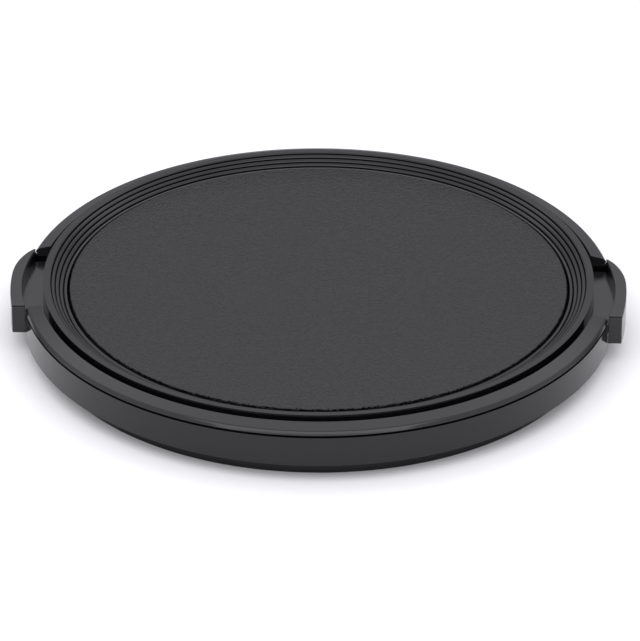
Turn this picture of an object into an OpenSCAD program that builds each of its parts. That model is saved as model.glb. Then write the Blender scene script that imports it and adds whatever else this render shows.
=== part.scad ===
// Lens cap that clips into an 82 mm filter thread with two sprung latches at its sides.
// The origin is the centre of the base. +Z is up through the face and +X runs through the latches.

/* [Front shell] */
// Overhang of the rim beyond the spigot, which rests on the filter ring
rim_overhang = 2.7; // [2.4:0.05:3.5]
// Height of the whole cap, up to the lip round the face
cap_h = 9.25; // [9:0.05:11]
// Height of the straight outer wall
wall_h = 4.7; // [4.4:0.05:4.9]
// Radius of the rounded corner above the wall
rim_round = 0.65; // [0.4:0.05:0.8]
// Lean of the surface where that corner stops at the fine line, in degrees
rim_edge_lean = 10; // [5:1:25]
// Slope of the shoulder between the corner and the groove, in degrees
shoulder_slope = 11; // [5:1:14]
// Height of the fine line cut round the top of the wall
line_w = 0.32; // [0.2:0.02:0.4]
// Depth of that line
line_depth = 0.3; // [0.1:0.05:0.4]
// Small chamfer at the foot of the outer wall
wall_chamfer = 0.15; // [0.05:0.05:0.4]
// Thickness of the face under the centre panel
face_t = 0.75; // [0.6:0.05:0.9]

/* [Ring groove and lip] */
// How far the lip's outer side lies inside the spigot's outer face
lip_inset = 0.23; // [0:0.01:0.5]
// Width of the groove between the shoulder and the lip
ring_groove_w = 0.66; // [0.4:0.02:1]
// Depth of that groove below the shoulder's edge
ring_groove_depth = 1.25; // [0.6:0.05:1.5]
// Width of the lip's flat top
lip_land = 0.92; // [0.6:0.02:1.2]

/* [Dished ring] */
// Slope of the dished ring, in degrees
dish_slope = 34.3; // [28:0.1:40]
// Depth of the dished ring below the lip
dish_depth = 1.5; // [1.2:0.05:1.7]
// Width of the flat land inside the dished ring
dish_land = 0.35; // [0.2:0.05:0.6]
// Number of fine V grooves turned into the dished ring
vee_count = 4; // [2:1:4]
// Radial distance from one V groove to the next
vee_pitch = 0.6; // [0.45:0.01:0.62]
// Distance from the lip's inner edge to the first V groove
vee_start = 0.29; // [0.2:0.01:0.35]
// Width of each V groove
vee_w = 0.27; // [0.15:0.01:0.3]
// Depth of each V groove
vee_depth = 0.3; // [0.1:0.02:0.35]

/* [Centre panel] */
// Thickness of the grained panel
panel_t = 0.6; // [0.4:0.05:0.7]
// Depth of its seat below the land
panel_seat_depth = 0.3; // [0.2:0.05:0.4]
// Width of the open channel round the panel
panel_gap = 0.4; // [0.3:0.05:0.8]
// Radius of the panel's top edge
panel_round = 0.2; // [0.1:0.05:0.25]

/* [Spigot] */
// Outer diameter of the spigot that enters the filter ring
spigot_d = 80.9; // [80.5:0.1:81.2]
// Height of the spigot below the rim
spigot_h = 2.8; // [2.7:0.05:3]
// Wall of the spigot
spigot_wall = 1.6; // [1.2:0.1:1.8]
// Chamfer at the spigot's leading edge
spigot_chamfer = 0.1; // [0.1:0.05:0.5]
// Width of the ledge inside that carries the back plate
ledge_w = 0.85; // [0.5:0.05:1.2]

/* [Back plate] */
// Thickness of the back plate
back_t = 1.2; // [1:0.1:1.4]
// Height of the back plate's outside above the base
back_lift = 2.4; // [2.2:0.1:2.5]
// Gap between the back plate and the spigot
back_gap = 0.2; // [0.1:0.05:0.4]
// Chamfer round the back plate's outside
plate_chamfer = 0.3; // [0.1:0.05:0.5]

/* [Stakes] */
// Diameter of the posts that hold the back plate
stake_d = 2.2; // [1.8:0.1:2.6]
// Clearance across each post in its hole
stake_fit = 0.2; // [0.1:0.05:0.4]
// Diameter of the flattened heads
stake_head_d = 3.6; // [3.2:0.1:4.4]
// Thickness of the flattened heads
stake_head_t = 0.6; // [0.4:0.05:0.8]
// Distance of the posts from the axis
stake_circle_r = 31; // [28:0.5:33]
// Number of posts on each side of the latches
stakes_a_side = 3; // [2:1:4]
// Angle between neighbouring posts, in degrees
stake_step = 40; // [30:1:40]

/* [Latches] */
// Width of a latch
latch_w = 16.1; // [14:0.1:18]
// Gap at each side of a latch
side_gap = 0.35; // [0.25:0.05:0.6]
// Gap above and below the sliding web
lift_gap = 0.25; // [0.2:0.05:0.3]
// How far a latch is pressed in
travel = 2; // [1.5:0.1:2.2]
// Reach of the grip beyond the rim
grip_reach = 1.85; // [1.4:0.05:2.5]
// Thickness of the grip
grip_t = 2.05; // [1.6:0.05:2.1]
// Height of the grip's top above the wall
grip_rise = 0.62; // [0.4:0.02:0.8]
// Height of the grip
grip_h = 4.52; // [4:0.05:4.7]
// Chamfer along the grip's outer edges
grip_chamfer = 0.15; // [0.1:0.05:0.5]
// Radius of the grip's outer corners, seen from above
grip_round = 0.45; // [0.2:0.05:0.7]
// Thickness of the web that slides under the face
web_t = 1.3; // [1:0.1:1.5]

/* [Latch wings] */
// Reach of each wing beyond the side of its latch
wing_reach = 4.95; // [4.5:0.05:6]
// Thickness of the wings along the travel
wing_t = 2.6; // [2:0.1:3]
// Gap between the wings and their stops at rest
stop_gap = 0.1; // [0.05:0.05:0.2]
// Thickness of the rails and spring seats in the shell
rail_t = 1; // [0.8:0.1:1.2]

/* [Jaws] */
// Wall of the jaw that fills the gap in the spigot
jaw_wall = 1.75; // [1.4:0.05:1.9]
// How far the jaw's root lies inside the spigot's outer face
jaw_inset = 0.1; // [0.05:0.05:0.3]
// Height of the jaw's foot above the base
jaw_lift = 0.4; // [0.3:0.05:0.6]
// Number of thread ridges on each jaw
ridge_count = 3; // [2:1:3]
// Pitch of the filter thread
thread_pitch = 0.75; // [0.6:0.05:0.8]
// Height of the thread ridges
ridge_h = 0.6; // [0.4:0.05:0.7]

/* [Springs] */
// Outer diameter of the coil springs
spring_d = 2.2; // [1.8:0.1:2.3]
// Diameter of the spring wire
wire_d = 0.35; // [0.2:0.05:0.4]
// Length of a spring with the latch at rest
spring_len = 10; // [8:0.5:12]
// Number of turns, the closed end turns included
spring_turns = 9; // [7:1:9]
// Diameter of the pegs that centre the springs
peg_d = 1.1; // [0.8:0.05:1.2]
// Length of the pegs
peg_len = 1.6; // [1:0.1:2]

/* [Hidden] */

$fn = 180;
past = 1;                 // how far cutters run past a surface
round_steps = 6;          // straight steps in a quarter round
wire_sides = 6;           // sides of the spring wire
turn_steps = 12;          // steps in one turn of a spring
spring_end_gap = 0.05;    // gap at each end of a spring

spigot_r = spigot_d / 2;
rim_r = spigot_r + rim_overhang;
lip_r = spigot_r - lip_inset;
bore_r = spigot_r - spigot_wall;
ledge_r = bore_r - ledge_w;
plate_r = bore_r - back_gap;

// Heights above the base
wall_top_z = spigot_h + wall_h;
corner_centre = [rim_r - rim_round * cos(rim_edge_lean), wall_top_z - rim_round * sin(rim_edge_lean)];
corner_r = corner_centre[0] + rim_round * sin(shoulder_slope);
corner_z = corner_centre[1] + rim_round * cos(shoulder_slope);
groove_r = lip_r + ring_groove_w;
groove_z = corner_z + (corner_r - groove_r) * tan(shoulder_slope);
land_z = cap_h - dish_depth;
seat_z = land_z - panel_seat_depth;
face_z = seat_z - face_t;
back_z = back_lift + back_t;

// Radii of the dished ring and the panel
dish_top_r = lip_r - lip_land;
dish_foot_r = dish_top_r - dish_depth / tan(dish_slope);
seat_r = dish_foot_r - dish_land;
panel_r = seat_r - panel_gap;

// The latch, from the grip inwards
latch_half = latch_w / 2;
gap_half = latch_half + side_gap;
grip_out_r = rim_r + grip_reach;
grip_in_r = grip_out_r - grip_t;
grip_top_z = wall_top_z + grip_rise;
web_top_z = face_z - lift_gap;
web_foot_z = web_top_z - web_t;
slide_foot_z = back_z + lift_gap;
jaw_r = spigot_r - jaw_inset;
jaw_in_r = jaw_r - jaw_wall;
wing_half = latch_half + wing_reach;
channel_half = wing_half + side_gap;
stop_x = sqrt(pow(ledge_r, 2) - pow(channel_half, 2)) - side_gap;
wing_out_x = stop_x - stop_gap;
wing_in_x = wing_out_x - wing_t;
spring_seat_x = wing_in_x - spring_len;
spring_z = (back_z + face_z) / 2;
spring_y = (gap_half + wing_half) / 2;
jaw_notch_x = sqrt(pow(jaw_in_r, 2) - pow(latch_half, 2)) - travel - side_gap;

function arc(centre, radius, from, to) =
    [for (i = [0 : round_steps])
        let (a = from + (to - from) * i / round_steps)
        centre + radius * [cos(a), sin(a)]];

function stake_places() =
    concat([[0, 0]],
           [for (side = [-1, 1], i = [0 : stakes_a_side - 1])
               let (a = side * 90 + (i - (stakes_a_side - 1) / 2) * stake_step)
               stake_circle_r * [cos(a), sin(a)]]);

// How far along a spring the wire lies after a number of turns: one closed turn at each end
function wire_run(turn) =
    let (open_pitch = (spring_len - 2 * spring_end_gap - 3 * wire_d) / (spring_turns - 2))
    turn <= 1 ? turn * wire_d
    : turn <= spring_turns - 1 ? wire_d + (turn - 1) * open_pitch
    : wire_d + (spring_turns - 2) * open_pitch + (turn - spring_turns + 1) * wire_d;

// Section of the shell, from the axis out: face, dished ring, lip, groove, shoulder, line, wall, spigot
module shell_section() {
    polygon(concat(
        [[0, face_z], [0, seat_z], [seat_r, seat_z], [seat_r, land_z], [dish_foot_r, land_z],
         [dish_top_r, cap_h], [lip_r, cap_h], [lip_r, groove_z - ring_groove_depth],
         [groove_r, groove_z - ring_groove_depth], [groove_r, groove_z]],
        arc(corner_centre, rim_round, 90 - shoulder_slope, rim_edge_lean),
        [[rim_r - line_depth, wall_top_z], [rim_r - line_depth, wall_top_z - line_w],
         [rim_r, wall_top_z - line_w], [rim_r, spigot_h + wall_chamfer], [rim_r - wall_chamfer, spigot_h], [spigot_r, spigot_h],
         [spigot_r, spigot_chamfer], [spigot_r - spigot_chamfer, 0], [bore_r, 0], [bore_r, back_z],
         [ledge_r, back_z], [ledge_r, face_z]]));
}

// Sections of the V grooves, square to the slope of the dished ring
module vee_sections() {
    for (i = [0 : vee_count - 1]) {
        run = vee_start + i * vee_pitch;
        translate([dish_top_r - run, cap_h - run * tan(dish_slope)])
            rotate(dish_slope)
                polygon([[-vee_w, vee_depth], [vee_w, vee_depth], [0, -vee_depth]]);
    }
}

// What each latch needs cut away: a slot under the face, and a notch beside the lip
module latch_gap() {
    translate([jaw_notch_x, -gap_half, -past])
        cube([rim_r, 2 * gap_half, face_z + past]);
    difference() {
        translate([0, -gap_half, face_z - past / 2])
            cube([rim_r + past, 2 * gap_half, cap_h]);
        translate([0, 0, -past]) cylinder(r = lip_r, h = cap_h + 2 * past);
    }
}

// Rails beside the wings, flat stops for them, and the seats of the springs with their pegs
module latch_channel() {
    rib_h = face_z - back_z + face_t / 2;
    seat_w = channel_half - gap_half;
    for (side = [-1, 1]) {
        translate([spring_seat_x - rail_t, side * (channel_half + rail_t / 2) - rail_t / 2, back_z])
            cube([stop_x - spring_seat_x + rail_t + side_gap, rail_t, rib_h]);
        for (seat = [[spring_seat_x - rail_t, rail_t], [stop_x, ledge_r - stop_x + ledge_w / 2]])
            translate([seat[0], side * (gap_half + seat_w / 2) - seat_w / 2, back_z])
                cube([seat[1], seat_w, rib_h]);
        translate([spring_seat_x - rail_t / 2, side * spring_y, spring_z])
            rotate([0, 90, 0]) cylinder(d = peg_d, h = peg_len + rail_t / 2, $fn = 32);
    }
}

module front_shell() {
    color([0.17, 0.17, 0.18])
    difference() {
        union() {
            rotate_extrude()
                difference() {
                    shell_section();
                    vee_sections();
                }
            for (turn = [0, 180]) rotate(turn) latch_channel();
            for (place = stake_places()) translate(place) {
                translate([0, 0, back_lift - stake_head_t / 2])
                    cylinder(d = stake_d, h = face_z - back_lift + stake_head_t / 2 + face_t / 2, $fn = 48);
                translate([0, 0, back_lift - stake_head_t])
                    cylinder(d = stake_head_d, h = stake_head_t, $fn = 48);
            }
        }
        for (turn = [0, 180]) rotate(turn) latch_gap();
    }
}

module centre_panel() {
    color([0.2, 0.2, 0.21])
    rotate_extrude()
        polygon(concat(
            [[0, seat_z], [0, seat_z + panel_t]],
            arc([panel_r - panel_round, seat_z + panel_t - panel_round], panel_round, 90, 0),
            [[panel_r, seat_z]]));
}

module back_plate() {
    color([0.14, 0.14, 0.15])
    difference() {
        rotate_extrude()
            polygon([[0, back_lift], [plate_r - plate_chamfer, back_lift], [plate_r, back_lift + plate_chamfer],
                     [plate_r, back_z], [0, back_z]]);
        for (turn = [0, 180]) rotate(turn)
            translate([jaw_notch_x, -gap_half, 0]) cube([rim_r, 2 * gap_half, cap_h]);
        for (place = stake_places()) translate([place[0], place[1], 0])
            cylinder(d = stake_d + stake_fit, h = cap_h, $fn = 48);
    }
}

// Cutter that leaves a round corner of the grip, between its outer face and its end
module grip_corner_cut() {
    centre_y = latch_half - grip_round;
    centre_x = sqrt(pow(grip_out_r - grip_round, 2) - pow(centre_y, 2));
    lean = atan2(centre_y, centre_x);
    reach = 4 * grip_round;
    difference() {
        translate([centre_x, centre_y])
            polygon([[0, 0], reach * [cos(lean), sin(lean)], [reach, reach], [0, reach]]);
        translate([centre_x, centre_y]) circle(r = grip_round, $fn = 48);
    }
}

// Curved grip that stands outside the rim
module grip() {
    foot_z = grip_top_z - grip_h;
    intersection() {
        rotate_extrude()
            polygon([[grip_in_r, foot_z], [grip_out_r - grip_chamfer, foot_z],
                     [grip_out_r, foot_z + grip_chamfer], [grip_out_r, grip_top_z - grip_chamfer],
                     [grip_out_r - grip_chamfer, grip_top_z], [grip_in_r, grip_top_z]]);
        linear_extrude(cap_h)
            difference() {
                translate([0, -latch_half]) square([grip_out_r, latch_w]);
                grip_corner_cut();
                mirror([0, 1]) grip_corner_cut();
            }
    }
}

// Curved jaw that fills the gap in the spigot, with the ridges that hold the filter thread
module jaw() {
    intersection() {
        rotate_extrude()
            polygon(concat(
                [[jaw_in_r, jaw_lift]],
                [for (i = [0 : ridge_count - 1], corner = [0 : 2])
                    let (z = jaw_lift + i * thread_pitch)
                    [[jaw_r, z], [jaw_r + ridge_h, z + thread_pitch / 2], [jaw_r, z + thread_pitch]][corner]],
                [[jaw_r, web_foot_z + web_t / 2], [jaw_in_r, web_foot_z + web_t / 2]]));
        translate([0, -latch_half, 0]) cube([rim_r, latch_w, cap_h]);
    }
}

// One latch, as it lies on the +X side
module latch() {
    color([0.16, 0.16, 0.17]) {
        grip();
        jaw();
        intersection() {
            translate([wing_in_x, -latch_half, web_foot_z]) cube([rim_r, latch_w, web_t]);
            cylinder(r = grip_in_r + (grip_out_r - grip_in_r) / 2, h = cap_h);
        }
        intersection() {
            translate([wing_in_x, -latch_half, slide_foot_z])
                cube([rim_r, latch_w, web_top_z - slide_foot_z]);
            cylinder(r = jaw_r, h = cap_h);
        }
        translate([wing_in_x, -wing_half, slide_foot_z])
            cube([wing_t, 2 * wing_half, web_top_z - slide_foot_z]);
        for (side = [-1, 1])
            translate([wing_in_x - peg_len, side * spring_y, spring_z])
                rotate([0, 90, 0]) cylinder(d = peg_d, h = peg_len + wing_t / 2, $fn = 32);
    }
}

module latch_right() { latch(); }

module latch_left() { rotate(180) latch(); }

// Coil spring along +X, from its seat to the wing, as a six-sided wire swept round the turns
module coil_spring() {
    steps = spring_turns * turn_steps;
    coil_r = (spring_d - wire_d) / 2;
    points = [for (i = [0 : steps], k = [0 : wire_sides - 1])
        let (a = 360 * i / turn_steps, b = 360 * k / wire_sides,
             out = coil_r + wire_d / 2 * cos(b))
        [spring_end_gap + wire_d / 2 + wire_run(i / turn_steps) + wire_d / 2 * sin(b),
         out * cos(a), out * sin(a)]];
    sides = [for (i = [0 : steps - 1], k = [0 : wire_sides - 1], half = [0, 1])
        let (next = (k + 1) % wire_sides, a = i * wire_sides, b = a + wire_sides)
        half == 0 ? [a + k, a + next, b + next] : [a + k, b + next, b + k]];
    first = [for (k = [wire_sides - 1 : -1 : 0]) k];
    last = [for (k = [0 : wire_sides - 1]) steps * wire_sides + k];
    color([0.75, 0.76, 0.78])
        polyhedron(points, concat(sides, [first, last]), convexity = 10);
}

module placed_spring(turn, side) {
    rotate(turn) translate([spring_seat_x, side * spring_y, spring_z]) coil_spring();
}

module spring_left_front() { placed_spring(180, 1); }

module spring_left_rear() { placed_spring(180, -1); }

module spring_right_front() { placed_spring(0, -1); }

module spring_right_rear() { placed_spring(0, 1); }

front_shell();
centre_panel();
back_plate();
latch_left();
latch_right();
spring_left_front();
spring_left_rear();
spring_right_front();
spring_right_rear();
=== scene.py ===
import math

import bmesh
import bpy
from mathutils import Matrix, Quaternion, Vector


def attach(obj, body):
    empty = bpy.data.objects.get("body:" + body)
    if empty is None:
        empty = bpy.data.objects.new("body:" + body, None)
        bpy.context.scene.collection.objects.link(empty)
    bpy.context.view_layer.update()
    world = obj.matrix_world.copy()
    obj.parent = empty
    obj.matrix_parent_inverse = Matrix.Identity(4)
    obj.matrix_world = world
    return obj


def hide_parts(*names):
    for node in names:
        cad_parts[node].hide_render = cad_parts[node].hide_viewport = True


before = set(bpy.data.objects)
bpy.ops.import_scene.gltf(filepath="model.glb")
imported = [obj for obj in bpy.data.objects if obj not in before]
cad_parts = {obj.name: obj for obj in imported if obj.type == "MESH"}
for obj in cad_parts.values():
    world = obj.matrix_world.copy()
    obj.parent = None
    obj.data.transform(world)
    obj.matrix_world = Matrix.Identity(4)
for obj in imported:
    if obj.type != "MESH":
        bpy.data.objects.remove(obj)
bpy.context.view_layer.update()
MM = 0.001

# Camera. It stands where the ellipses of the rim, groove and panel put it: 774 mm away,
# 29 degrees up and a little to the right of the line square to the latches.
camera_distance = 774 * MM
camera_elevation = math.radians(28.97)
camera_azimuth = math.radians(1.9)
rim_corner_z = 7.42 * MM
aim = Vector((0.325, -2.373, 3.172)) * MM
roll = math.radians(0.15)
focal_px = 5292.2
picture_h_px = 641
stand = Vector((math.sin(camera_azimuth) * math.cos(camera_elevation),
                -math.cos(camera_azimuth) * math.cos(camera_elevation),
                math.sin(camera_elevation))) * camera_distance + Vector((0, 0, rim_corner_z))
turned = (aim - stand).to_track_quat("-Z", "Y") @ Quaternion((0, 0, 1), roll)
bpy.ops.object.camera_add(location=stand, rotation=turned.to_euler())
camera = bpy.context.object
camera.name = "photo_camera"
camera.data.sensor_width = 36
camera.data.lens = focal_px * camera.data.sensor_width / picture_h_px
camera.data.clip_start = 0.05
camera.data.clip_end = 20
bpy.context.scene.camera = camera

# Studio. A white table in a pale room, and one wide softbox high on the camera's side. The back of
# the room is dimmer low down, as the glossy rim and the dished ring show it, and the rest is even.
table_size = 6
bpy.ops.mesh.primitive_plane_add(size=table_size, location=(0, 0, 0))
table = bpy.context.object
table.name = "table_top"
table_white = bpy.data.materials.new("table_white")
table_white.use_nodes = True
nodes, links = table_white.node_tree.nodes, table_white.node_tree.links
matt = nodes["Principled BSDF"]
matt.inputs["Base Color"].default_value = (0.74, 0.74, 0.75, 1)
matt.inputs["Roughness"].default_value = 0.9
matt.inputs["Specular IOR Level"].default_value = 0.0
table.data.materials.append(table_white)

world = bpy.data.worlds.new("pale_room")
bpy.context.scene.world = world
world.use_nodes = True
nodes, links = world.node_tree.nodes, world.node_tree.links
room = nodes["Background"]
room.inputs["Color"].default_value = (0.97, 0.96, 1.0, 1)
direction = nodes.new("ShaderNodeTexCoord")
height = nodes.new("ShaderNodeSeparateXYZ")
links.new(direction.outputs["Generated"], height.inputs["Vector"])
frontward = nodes.new("ShaderNodeMapRange")
frontward.interpolation_type = "SMOOTHSTEP"
frontward.inputs["From Min"].default_value = 0.6
frontward.inputs["From Max"].default_value = 0.1
links.new(height.outputs["Y"], frontward.inputs["Value"])
back_wall = nodes.new("ShaderNodeValToRGB")
back_wall.color_ramp.elements[0].position = 0.0
back_wall.color_ramp.elements[0].color = (0.10, 0.10, 0.10, 1)
back_wall.color_ramp.elements[1].position = 1.0
back_wall.color_ramp.elements[1].color = (0.75, 0.75, 0.75, 1)
for at, tone in ((0.17, 0.24), (0.48, 0.325), (0.66, 0.74)):
    step = back_wall.color_ramp.elements.new(at)
    step.color = (tone, tone, tone, 1)
links.new(height.outputs["Z"], back_wall.inputs["Fac"])
room_front_tone = 0.57
room_walls = nodes.new("ShaderNodeMix")
room_walls.inputs["B"].default_value = room_front_tone
links.new(frontward.outputs["Result"], room_walls.inputs["Factor"])
links.new(back_wall.outputs["Color"], room_walls.inputs["A"])
room_gain = nodes.new("ShaderNodeMath")
room_gain.operation = "MULTIPLY"
room_gain.inputs[1].default_value = 2.4
links.new(room_walls.outputs["Result"], room_gain.inputs[0])
links.new(room_gain.outputs[0], room.inputs["Strength"])
bpy.context.scene.view_settings.view_transform = "Standard"

softbox_elevation = math.radians(55)
softbox_distance = 1.15
softbox_stand = Vector((0, -math.cos(softbox_elevation), math.sin(softbox_elevation))) * softbox_distance
bpy.ops.object.light_add(type="AREA", location=softbox_stand,
                         rotation=(-softbox_stand).to_track_quat("-Z", "Y").to_euler())
softbox = bpy.context.object
softbox.name = "softbox"
softbox.data.shape = "RECTANGLE"
softbox.data.size = 1.5
softbox.data.size_y = 0.9
softbox.data.energy = 7.2

# Front shell. One moulding in glossy black plastic: face, dished ring with its fine V grooves, lip,
# groove, shoulder, outer wall and the spigot below. Its section is drawn once and spun about the
# axis. The latches' notches are cut through it, and the posts and rails inside stand on the face.
spigot_r = 40.45
rim_r = 43.15
lip_r = 40.22
bore_r = 38.85
ledge_r = 38.0
wall_foot_z = 2.85
wall_chamfer_r = 43.1
spigot_h = 2.8
cap_h = 9.25
groove_r = 40.86
groove_z = 8.61
groove_floor_z = 7.116
land_z = 7.75
seat_z = 7.45
seat_r = 36.751
face_z = 6.7
back_z = 3.6
dish_top_r = 39.3
dish_foot_r = 37.101
dish_slope = math.radians(34.3)
gap_half = 8.9


def draw_section(name, points, corner=0.0, keep_crisp=(), flat_at=None):
    """Draws a closed outline point by point, upright or flat at a height, and rounds its corners."""
    spots = [Vector((a, 0, b) if flat_at is None else (a, b, flat_at)) * MM for a, b in points]
    bpy.ops.object.select_all(action="DESELECT")
    bpy.ops.mesh.primitive_plane_add(size=MM, location=spots[0])
    piece = bpy.context.object
    piece.name = name
    bpy.ops.object.transform_apply(location=True, rotation=False, scale=False)
    bpy.ops.object.mode_set(mode="EDIT")
    bpy.ops.mesh.select_mode(type="VERT")
    bpy.ops.mesh.select_all(action="SELECT")
    bpy.ops.mesh.merge(type="CENTER")
    for start, end in zip(spots, spots[1:] + spots[:1]):
        bpy.ops.mesh.extrude_region_move(TRANSFORM_OT_translate={"value": end - start})
    bpy.ops.mesh.select_all(action="SELECT")
    bpy.ops.mesh.remove_doubles(threshold=0.0005 * MM)
    if corner:
        bpy.ops.mesh.select_mode(type="VERT")
        bpy.ops.mesh.select_all(action="DESELECT")
        shape = bmesh.from_edit_mesh(piece.data)
        for vert in shape.verts:
            arms = [edge.other_vert(vert).co - vert.co for edge in vert.link_edges]
            turn = math.pi - arms[0].angle(arms[1])
            place = (vert.co.x / MM, vert.co.z / MM)
            crisp = any(math.dist(place, point) < 0.01 for point in keep_crisp)
            vert.select = turn > math.radians(20) and place[0] > 0.01 and not crisp
        bmesh.update_edit_mesh(piece.data)
        bpy.ops.mesh.bevel(offset=corner * MM, segments=2, affect="VERTICES", clamp_overlap=True)
    bpy.ops.object.mode_set(mode="OBJECT")
    return piece


def spin_section(piece, steps=288, angle=360):
    """Spins a drawn section about the cap's axis into a closed solid."""
    bpy.ops.object.select_all(action="DESELECT")
    piece.select_set(True)
    bpy.context.view_layer.objects.active = piece
    bpy.ops.object.mode_set(mode="EDIT")
    bpy.ops.mesh.select_all(action="SELECT")
    bpy.ops.mesh.spin(steps=steps, angle=math.radians(angle), center=(0, 0, 0), axis=(0, 0, 1))
    bpy.ops.mesh.select_all(action="SELECT")
    bpy.ops.mesh.remove_doubles(threshold=0.0005 * MM)
    if angle < 360:
        bpy.ops.mesh.fill_holes(sides=0)
    bpy.ops.mesh.select_all(action="SELECT")
    bpy.ops.mesh.normals_make_consistent(inside=False)
    bpy.ops.object.mode_set(mode="OBJECT")


def add_block(name, low, high, edge=0.0):
    """Adds a block between two corners, with its edges rounded."""
    bpy.ops.object.select_all(action="DESELECT")
    middle = [(a + b) / 2 * MM for a, b in zip(low, high)]
    bpy.ops.mesh.primitive_cube_add(size=1, location=middle,
                                    scale=[(b - a) * MM for a, b in zip(low, high)])
    piece = bpy.context.object
    piece.name = name
    bpy.ops.object.transform_apply(location=True, rotation=True, scale=True)
    if edge:
        bpy.ops.object.mode_set(mode="EDIT")
        bpy.ops.mesh.select_all(action="SELECT")
        bpy.ops.mesh.bevel(offset=edge * MM, segments=2, affect="EDGES")
        bpy.ops.object.mode_set(mode="OBJECT")
    return piece


def add_post(name, place, radius, low_z, high_z, edge=0.0, sides=64):
    """Adds an upright round post, with the edges of both ends rounded."""
    bpy.ops.object.select_all(action="DESELECT")
    bpy.ops.mesh.primitive_cylinder_add(
        vertices=sides, radius=radius * MM, depth=(high_z - low_z) * MM,
        location=(place[0] * MM, place[1] * MM, (low_z + high_z) / 2 * MM))
    piece = bpy.context.object
    piece.name = name
    bpy.ops.object.transform_apply(location=True, rotation=True, scale=True)
    if edge:
        bpy.ops.object.mode_set(mode="EDIT")
        bpy.ops.mesh.select_all(action="DESELECT")
        shape = bmesh.from_edit_mesh(piece.data)
        for rim in shape.edges:
            ends = [face.normal.z for face in rim.link_faces]
            rim.select = abs(ends[0] - ends[1]) > 0.5
        bmesh.update_edit_mesh(piece.data)
        bpy.ops.mesh.bevel(offset=edge * MM, segments=3, affect="EDGES")
        bpy.ops.object.mode_set(mode="OBJECT")
    return piece


def cut_away(piece, tool):
    """Cuts a tool's shape out of a piece, and removes the tool."""
    bpy.ops.object.select_all(action="DESELECT")
    piece.select_set(True)
    bpy.context.view_layer.objects.active = piece
    step = piece.modifiers.new("cut", "BOOLEAN")
    step.operation = "DIFFERENCE"
    step.solver = "EXACT"
    step.object = tool
    bpy.ops.object.modifier_apply(modifier=step.name)
    bpy.data.objects.remove(tool, do_unlink=True)


def smooth(piece, degrees=50):
    """Shades a piece smooth across its rounded edges, and keeps its flat faces flat."""
    bpy.ops.object.select_all(action="DESELECT")
    piece.select_set(True)
    bpy.context.view_layer.objects.active = piece
    bpy.ops.object.shade_smooth_by_angle(angle=math.radians(degrees))
    step = piece.modifiers.new("even_shading", "WEIGHTED_NORMAL")
    step.keep_sharp = True
    step.weight = 100
    bpy.ops.object.modifier_apply(modifier=step.name)


channel_start_r = 36.2
channel_foot = (36.55, 6.98)
shell_section = [(0, face_z), (0, seat_z), (channel_start_r, seat_z), channel_foot,
                 (seat_r, land_z), (dish_foot_r, land_z)]
vee_start = 0.29
vee_pitch = 0.6
vee_w = 0.135
vee_depth = 0.3
for groove in (3, 2, 1, 0):
    run = vee_start + groove * vee_pitch
    centre = (dish_top_r - run, cap_h - run * math.tan(dish_slope))
    along = (math.cos(dish_slope), math.sin(dish_slope))
    down = (math.sin(dish_slope), -math.cos(dish_slope))
    shell_section += [(centre[0] - along[0] * vee_w, centre[1] - along[1] * vee_w),
                      (centre[0] + down[0] * vee_depth, centre[1] + down[1] * vee_depth),
                      (centre[0] + along[0] * vee_w, centre[1] + along[1] * vee_w)]
shell_section += [(dish_top_r, cap_h), (lip_r, cap_h), (lip_r, groove_floor_z),
                  (groove_r, groove_floor_z), (groove_r, groove_z)]
corner_round = 0.6
corner_centre = (42.442, 7.5959)
corner_steps = 8
corner_lean_start = 76
corner_lean_end = 32.4
for i in range(corner_steps + 1):
    lean = math.radians(corner_lean_start + (corner_lean_end - corner_lean_start) * i / corner_steps)
    shell_section.append((corner_centre[0] + corner_round * math.cos(lean),
                          corner_centre[1] + corner_round * math.sin(lean)))
line_and_wall = [(43.14, 7.6), (42.5, 7.45), (42.5, 7.25), (rim_r, 7.25), (rim_r, wall_foot_z),
                 (wall_chamfer_r, spigot_h)]
shell_section += line_and_wall
shell_section += [(spigot_r, spigot_h), (spigot_r, 0.1), (spigot_r - 0.1, 0), (bore_r, 0),
                  (bore_r, back_z), (ledge_r, back_z), (ledge_r, face_z)]
shell = draw_section("moulded_front_shell", shell_section, corner=0.02, keep_crisp=line_and_wall)
spin_section(shell)

notch_x = 35.4013
for side in (1, -1):
    low_x, high_x = sorted((side * notch_x, side * 50))
    cut_away(shell, add_block("notch_below", (low_x, -gap_half, -1), (high_x, gap_half, face_z)))
    low_x, high_x = sorted((side * 30, side * 50))
    notch_above = add_block("notch_above", (low_x, -gap_half, face_z - 0.5), (high_x, gap_half, 12))
    cut_away(notch_above, add_post("lip_keeper", (0, 0), lip_r + 0.01, 0, 20, sides=576))
    cut_away(shell, notch_above)

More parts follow.
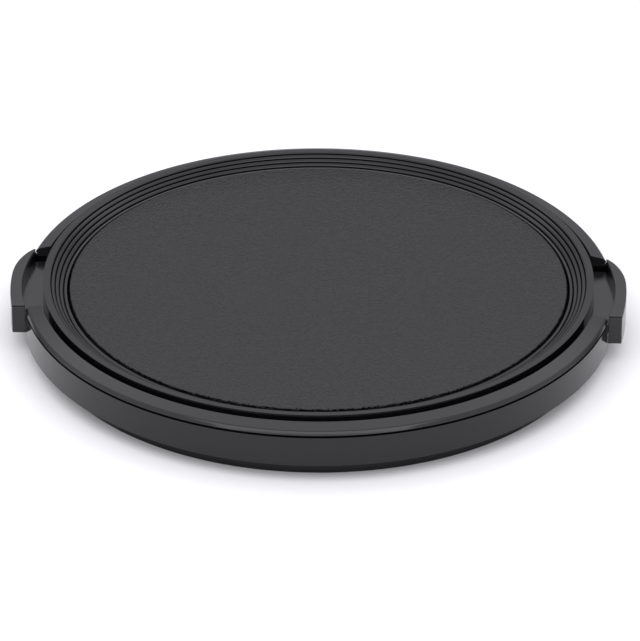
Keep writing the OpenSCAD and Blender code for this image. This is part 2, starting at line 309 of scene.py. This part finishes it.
post_places = [(0, 0)]
for side in (90, -90):
    for step_angle in (-40, 0, 40):
        turn = math.radians(side + step_angle)
        post_places.append((31 * math.cos(turn), 31 * math.sin(turn)))
ribs = []
for place in post_places:
    ribs.append(add_post("post", place, 1.1, 2.1, face_z + 0.35))
    ribs.append(add_post("staked_head", place, 1.8, 1.8, 2.4, edge=0.22))
for side in (1, -1):
    for hand in (1, -1):
        for low, high in (((21.528, 13.35), (35.578, 14.35)), ((21.528, 8.4), (22.528, 13.35)),
                          ((35.228, 8.4), (38.42, 13.35))):
            xs = sorted((side * low[0], side * high[0]))
            ys = sorted((hand * low[1], hand * high[1]))
            ribs.append(add_block("rib", (xs[0], ys[0], back_z), (xs[1], ys[1], face_z + 0.35), edge=0.06))
        bpy.ops.object.select_all(action="DESELECT")
        bpy.ops.mesh.primitive_cylinder_add(vertices=48, radius=0.55 * MM, depth=2.1 * MM,
                                            location=(side * 23.078 * MM, hand * 10.7 * MM, 5.15 * MM),
                                            rotation=(0, math.pi / 2, 0))
        peg = bpy.context.object
        bpy.ops.object.transform_apply(location=True, rotation=True, scale=True)
        ribs.append(peg)
bpy.ops.object.select_all(action="DESELECT")
for rib in ribs:
    rib.select_set(True)
shell.select_set(True)
bpy.context.view_layer.objects.active = shell
bpy.ops.object.join()
smooth(shell)
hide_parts("front_shell")
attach(shell, "shell")

moulded_black = bpy.data.materials.new("moulded_black")
moulded_black.use_nodes = True
nodes, links = moulded_black.node_tree.nodes, moulded_black.node_tree.links
gloss = nodes["Principled BSDF"]
gloss.inputs["Base Color"].default_value = (0.0025, 0.0022, 0.0030, 1)
gloss.inputs["Specular IOR Level"].default_value = 0.41
place_on = nodes.new("ShaderNodeTexCoord")
flow = nodes.new("ShaderNodeTexNoise")
flow.inputs["Scale"].default_value = 260
flow.inputs["Detail"].default_value = 3
links.new(place_on.outputs["Object"], flow.inputs["Vector"])
polish = nodes.new("ShaderNodeMapRange")
polish.inputs["To Min"].default_value = 0.08
polish.inputs["To Max"].default_value = 0.16
links.new(flow.outputs["Fac"], polish.inputs["Value"])
links.new(polish.outputs["Result"], gloss.inputs["Roughness"])
ripple = nodes.new("ShaderNodeTexNoise")
ripple.inputs["Scale"].default_value = 700
ripple.inputs["Detail"].default_value = 2
links.new(place_on.outputs["Object"], ripple.inputs["Vector"])
skin = nodes.new("ShaderNodeBump")
skin.inputs["Strength"].default_value = 0.15
skin.inputs["Distance"].default_value = 0.01 * MM
links.new(ripple.outputs["Fac"], skin.inputs["Height"])
links.new(skin.outputs["Normal"], gloss.inputs["Normal"])
shell.data.materials.append(moulded_black)

# Centre panel. A separate disc with a fine pebble grain, glued into the seat in the middle of the
# face. It stands a little proud of the land round it, and its top edge is rounded.
panel_r = 36.351
panel_top_z = seat_z + 0.6
panel_round = 0.2
panel_section = [(0, seat_z), (0, panel_top_z)]
for i in range(7):
    lean = math.radians(90 - 90 * i / 6)
    panel_section.append((panel_r - panel_round + panel_round * math.cos(lean),
                          panel_top_z - panel_round + panel_round * math.sin(lean)))
panel_section += [(panel_r, seat_z)]
panel = draw_section("grained_panel", panel_section)
spin_section(panel)
smooth(panel)
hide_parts("centre_panel")
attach(panel, "shell")

pebble_grain = bpy.data.materials.new("pebble_grain")
pebble_grain.use_nodes = True
nodes, links = pebble_grain.node_tree.nodes, pebble_grain.node_tree.links
satin = nodes["Principled BSDF"]
satin.inputs["Base Color"].default_value = (0.0035, 0.0032, 0.0044, 1)
satin.inputs["Specular IOR Level"].default_value = 0.4
place_on = nodes.new("ShaderNodeTexCoord")
pebbles = nodes.new("ShaderNodeTexVoronoi")
pebbles.feature = "SMOOTH_F1"
pebbles.inputs["Scale"].default_value = 2500
pebbles.inputs["Smoothness"].default_value = 0.6
links.new(place_on.outputs["Object"], pebbles.inputs["Vector"])
creases = nodes.new("ShaderNodeTexNoise")
creases.inputs["Scale"].default_value = 2000
creases.inputs["Detail"].default_value = 6
creases.inputs["Roughness"].default_value = 0.65
links.new(place_on.outputs["Object"], creases.inputs["Vector"])
relief = nodes.new("ShaderNodeMath")
relief.operation = "SUBTRACT"
links.new(creases.outputs["Fac"], relief.inputs[0])
links.new(pebbles.outputs["Distance"], relief.inputs[1])
grain = nodes.new("ShaderNodeBump")
grain.inputs["Strength"].default_value = 1.0
grain.inputs["Distance"].default_value = 0.17 * MM
links.new(relief.outputs[0], grain.inputs["Height"])
links.new(grain.outputs["Normal"], satin.inputs["Normal"])
wear = nodes.new("ShaderNodeMapRange")
wear.inputs["To Min"].default_value = 0.26
wear.inputs["To Max"].default_value = 0.42
links.new(creases.outputs["Fac"], wear.inputs["Value"])
links.new(wear.outputs["Result"], satin.inputs["Roughness"])
panel.data.materials.append(pebble_grain)

# Back plate. A thin flat disc in matt black plastic that closes the latch mechanism from behind. It
# drops over the shell's posts, whose ends are flattened by heat into round heads.
plate_r = 38.65
back_lift = 2.4
plate_chamfer = 0.3
plate_section = [(0, back_lift), (plate_r - plate_chamfer, back_lift), (plate_r, back_lift + plate_chamfer),
                 (plate_r, back_z), (0, back_z)]
plate = draw_section("staked_back_plate", plate_section, corner=0.05)
spin_section(plate)
for side in (1, -1):
    low_x, high_x = sorted((side * notch_x, side * 50))
    cut_away(plate, add_block("plate_notch", (low_x, -gap_half, 0), (high_x, gap_half, 8)))
for place in post_places:
    cut_away(plate, add_post("post_hole", place, 1.2, 0, 8))
smooth(plate)
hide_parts("back_plate")
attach(plate, "shell")

spark_matt = bpy.data.materials.new("spark_matt")
spark_matt.use_nodes = True
nodes, links = spark_matt.node_tree.nodes, spark_matt.node_tree.links
dull = nodes["Principled BSDF"]
dull.inputs["Base Color"].default_value = (0.012, 0.012, 0.0135, 1)
place_on = nodes.new("ShaderNodeTexCoord")
sparks = nodes.new("ShaderNodeTexNoise")
sparks.inputs["Scale"].default_value = 3500
sparks.inputs["Detail"].default_value = 4
links.new(place_on.outputs["Object"], sparks.inputs["Vector"])
pits = nodes.new("ShaderNodeBump")
pits.inputs["Strength"].default_value = 0.6
pits.inputs["Distance"].default_value = 0.03 * MM
links.new(sparks.outputs["Fac"], pits.inputs["Height"])
links.new(pits.outputs["Normal"], dull.inputs["Normal"])
sheen = nodes.new("ShaderNodeMapRange")
sheen.inputs["To Min"].default_value = 0.45
sheen.inputs["To Max"].default_value = 0.65
links.new(sparks.outputs["Fac"], sheen.inputs["Value"])
links.new(sheen.outputs["Result"], dull.inputs["Roughness"])
plate.data.materials.append(spark_matt)

# Latches. Each is one black moulding: a curved grip outside the rim with a fine line cut under its
# top, a web that slides under the face, wings that the springs push on, and a jaw whose ridges hold
# the lens's thread.
jaw_in_r = 38.6
jaw_r = 40.35
jaw_lift = 0.4
ridge_h = 0.6
thread_pitch = 0.75
wing_in_x = 32.528


def raise_slab(name, outline, low_z, high_z, inset=0.0, edge=0.08):
    """Raises a slab from a flat outline, set in from it if asked, with its edges rounded."""
    piece = draw_section(name, outline, flat_at=low_z)
    bpy.ops.object.mode_set(mode="EDIT")
    bpy.ops.mesh.select_all(action="SELECT")
    bpy.ops.mesh.edge_face_add()
    bpy.ops.mesh.select_mode(type="FACE")
    if inset:
        bpy.ops.mesh.inset(thickness=inset * MM)
        bpy.ops.mesh.select_all(action="INVERT")
        bpy.ops.mesh.delete(type="FACE")
    bpy.ops.mesh.select_all(action="SELECT")
    bpy.ops.mesh.extrude_region_move(TRANSFORM_OT_translate={"value": (0, 0, (high_z - low_z) * MM)})
    bpy.ops.mesh.select_all(action="SELECT")
    bpy.ops.mesh.normals_make_consistent(inside=False)
    bpy.ops.mesh.select_mode(type="EDGE")
    bpy.ops.mesh.select_all(action="DESELECT")
    bpy.ops.mesh.edges_select_sharp(sharpness=math.radians(35))
    bpy.ops.mesh.bevel(offset=edge * MM, segments=3, affect="EDGES")
    bpy.ops.object.mode_set(mode="OBJECT")
    return piece


grip_r = 45
grip_front_y = -8.2
grip_rear_y = 8.86
grip_inner_front_y = -8.0
grip_outline = [(42.28, grip_front_y)]
for y in (grip_front_y, -7, -6, -5, -4, -3, -2, -1, 0, 1):
    grip_outline.append((math.sqrt(grip_r ** 2 - y ** 2), y))
grip_outline += [(44.96, 1.9), (44.87, 2.9), (44.72, 3.9), (44.5, 4.8), (44.22, 5.7), (43.9, 6.5),
                 (43.6, 7.15), (43.3, 7.7), (43.05, 8.08), (42.82, 8.36), (42.64, 8.62), (42.4, grip_rear_y)]
for step in range(17):
    y = grip_rear_y - (grip_rear_y - grip_inner_front_y) * step / 16
    grip_outline.append((43.33 - y ** 2 / 64, y))
right_latch = raise_slab("right_latch", grip_outline, 3.5, 7.72, edge=0.1)
latch_parts = [raise_slab("grip_core", grip_outline, 4, 8, inset=0.16),
               raise_slab("grip_top", grip_outline, 7.87, 8.12, edge=0.1)]

jaw_section = [(jaw_in_r, jaw_lift)]
for ridge in range(3):
    ridge_z = jaw_lift + ridge * thread_pitch
    jaw_section += [(jaw_r, ridge_z), (jaw_r + ridge_h, ridge_z + thread_pitch / 2)]
jaw_top_z = 5.8
jaw_section += [(jaw_r, jaw_lift + 3 * thread_pitch), (jaw_r, jaw_top_z), (jaw_in_r, jaw_top_z)]
jaw = draw_section("jaw", jaw_section, corner=0.06)
jaw_sweep = 23
spin_section(jaw, steps=40, angle=jaw_sweep)
spun_backwards = min(vert.co.y for vert in jaw.data.vertices) < -MM
jaw.rotation_euler[2] = math.radians(jaw_sweep / 2 if spun_backwards else -jaw_sweep / 2)
bpy.ops.object.select_all(action="DESELECT")
jaw.select_set(True)
bpy.context.view_layer.objects.active = jaw
bpy.ops.object.transform_apply(location=False, rotation=True, scale=False)
latch_parts += [jaw,
                add_block("web", (wing_in_x + 0.2, -8.05, 5.15), (43.7, 8.05, 6.45), edge=0.05),
                add_block("slide", (wing_in_x + 0.1, -7.9, 3.85), (39.2, 7.9, 6.3), edge=0.05),
                add_block("wings", (wing_in_x + 0.06, -13, 3.95), (wing_in_x + 2.6, 13, 6.38), edge=0.1)]
for side in (1, -1):
    bpy.ops.object.select_all(action="DESELECT")
    bpy.ops.mesh.primitive_cylinder_add(vertices=48, radius=0.55 * MM, depth=2.6 * MM,
                                        location=(32.228 * MM, side * 10.7 * MM, 5.15 * MM),
                                        rotation=(0, math.pi / 2, 0))
    peg = bpy.context.object
    bpy.ops.object.transform_apply(location=True, rotation=True, scale=True)
    latch_parts.append(peg)
bpy.ops.object.select_all(action="DESELECT")
for part in latch_parts:
    part.select_set(True)
right_latch.select_set(True)
bpy.context.view_layer.objects.active = right_latch
bpy.ops.object.join()
bpy.ops.object.duplicate()
left_latch = bpy.context.object
left_latch.name = "left_latch"
left_latch.scale[0] = -1
bpy.ops.object.transform_apply(location=False, rotation=False, scale=True)
for latch, node, body in ((right_latch, "latch_right", "right_latch"),
                          (left_latch, "latch_left", "left_latch")):
    bpy.ops.object.select_all(action="DESELECT")
    latch.select_set(True)
    bpy.context.view_layer.objects.active = latch
    bpy.ops.object.mode_set(mode="EDIT")
    bpy.ops.mesh.select_mode(type="VERT")
    bpy.ops.mesh.select_all(action="SELECT")
    bpy.ops.mesh.remove_doubles(threshold=0.001 * MM)
    bpy.ops.mesh.normals_make_consistent(inside=False)
    bpy.ops.object.mode_set(mode="OBJECT")
    smooth(latch)
    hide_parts(node)
    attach(latch, body)

latch_black = bpy.data.materials.new("latch_black")
latch_black.use_nodes = True
nodes, links = latch_black.node_tree.nodes, latch_black.node_tree.links
sheer = nodes["Principled BSDF"]
sheer.inputs["Base Color"].default_value = (0.0035, 0.0032, 0.0040, 1)
sheer.inputs["Specular IOR Level"].default_value = 0.5
place_on = nodes.new("ShaderNodeTexCoord")
flow = nodes.new("ShaderNodeTexNoise")
flow.inputs["Scale"].default_value = 900
flow.inputs["Detail"].default_value = 4
links.new(place_on.outputs["Object"], flow.inputs["Vector"])
polish = nodes.new("ShaderNodeMapRange")
polish.inputs["To Min"].default_value = 0.14
polish.inputs["To Max"].default_value = 0.26
links.new(flow.outputs["Fac"], polish.inputs["Value"])
links.new(polish.outputs["Result"], sheer.inputs["Roughness"])
skin = nodes.new("ShaderNodeBump")
skin.inputs["Strength"].default_value = 0.25
skin.inputs["Distance"].default_value = 0.01 * MM
links.new(flow.outputs["Fac"], skin.inputs["Height"])
links.new(skin.outputs["Normal"], sheer.inputs["Normal"])
right_latch.data.materials.append(latch_black)
left_latch.data.materials.append(latch_black)

# Springs. Four small coils of drawn steel wire, one in each pocket beside a latch, pushed on by its
# wings. The CAD coils stay, since nothing of them shows from outside, and get their wire's finish.
drawn_wire = bpy.data.materials.new("drawn_wire")
drawn_wire.use_nodes = True
nodes, links = drawn_wire.node_tree.nodes, drawn_wire.node_tree.links
steel = nodes["Principled BSDF"]
steel.inputs["Base Color"].default_value = (0.56, 0.57, 0.59, 1)
steel.inputs["Metallic"].default_value = 1
place_on = nodes.new("ShaderNodeTexCoord")
draw_marks = nodes.new("ShaderNodeTexNoise")
draw_marks.inputs["Scale"].default_value = 4000
draw_marks.inputs["Detail"].default_value = 3
links.new(place_on.outputs["Object"], draw_marks.inputs["Vector"])
wire_polish = nodes.new("ShaderNodeMapRange")
wire_polish.inputs["To Min"].default_value = 0.22
wire_polish.inputs["To Max"].default_value = 0.4
links.new(draw_marks.outputs["Fac"], wire_polish.inputs["Value"])
links.new(wire_polish.outputs["Result"], steel.inputs["Roughness"])
for spring in ("spring_left_front", "spring_left_rear", "spring_right_front", "spring_right_rear"):
    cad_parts[spring].data.materials.clear()
    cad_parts[spring].data.materials.append(drawn_wire)
